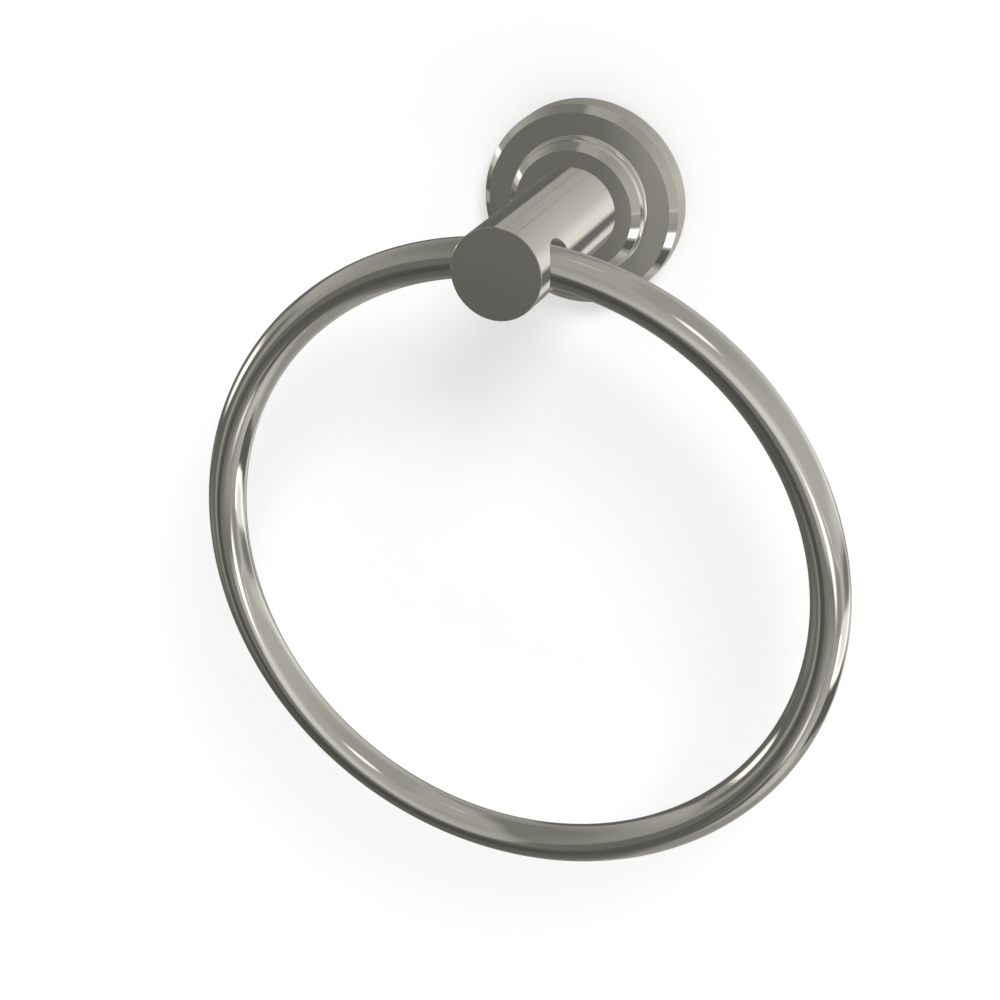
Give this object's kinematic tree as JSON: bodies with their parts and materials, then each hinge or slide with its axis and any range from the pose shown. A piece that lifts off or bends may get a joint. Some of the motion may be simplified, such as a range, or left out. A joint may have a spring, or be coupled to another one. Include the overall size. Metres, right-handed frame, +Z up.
{
  "type": "towel ring",
  "caption": "Wall-mounted towel ring: a round ring hangs and swings through the cross hole of a short round post on a stepped, bevelled wall flange over a hidden bracket.",
  "frame": {"origin": "centre of the flange's back on the wall plane, midway between the two wall-screw holes", "axes": "+Y into the wall, +Z up, +X to the right as seen from the front; the part stands out towards -Y"},
  "size_m": [0.1655, 0.0621, 0.1857],
  "materials": {
    "ring_nickel": "polished",
    "post_nickel": "polished",
    "flange_nickel": "polished",
    "bracket_steel": "satin",
    "screw_steel": "satin"
  },
  "bodies": {
    "holder": {"post": "post_nickel", "flange": "flange_nickel", "wall_bracket": "bracket_steel", "post_screw": "screw_steel", "lock_washer": "screw_steel", "set_screw": "screw_steel"},
    "ring": {"ring": "ring_nickel"}
  },
  "joints": [
    {"name": "ring_swing", "type": "hinge", "parent": "holder", "child": "ring", "pos_m": [0, -0.0507, 0], "axis": [-1, 0, 0], "range_deg": [-17, 197]}
  ]
}
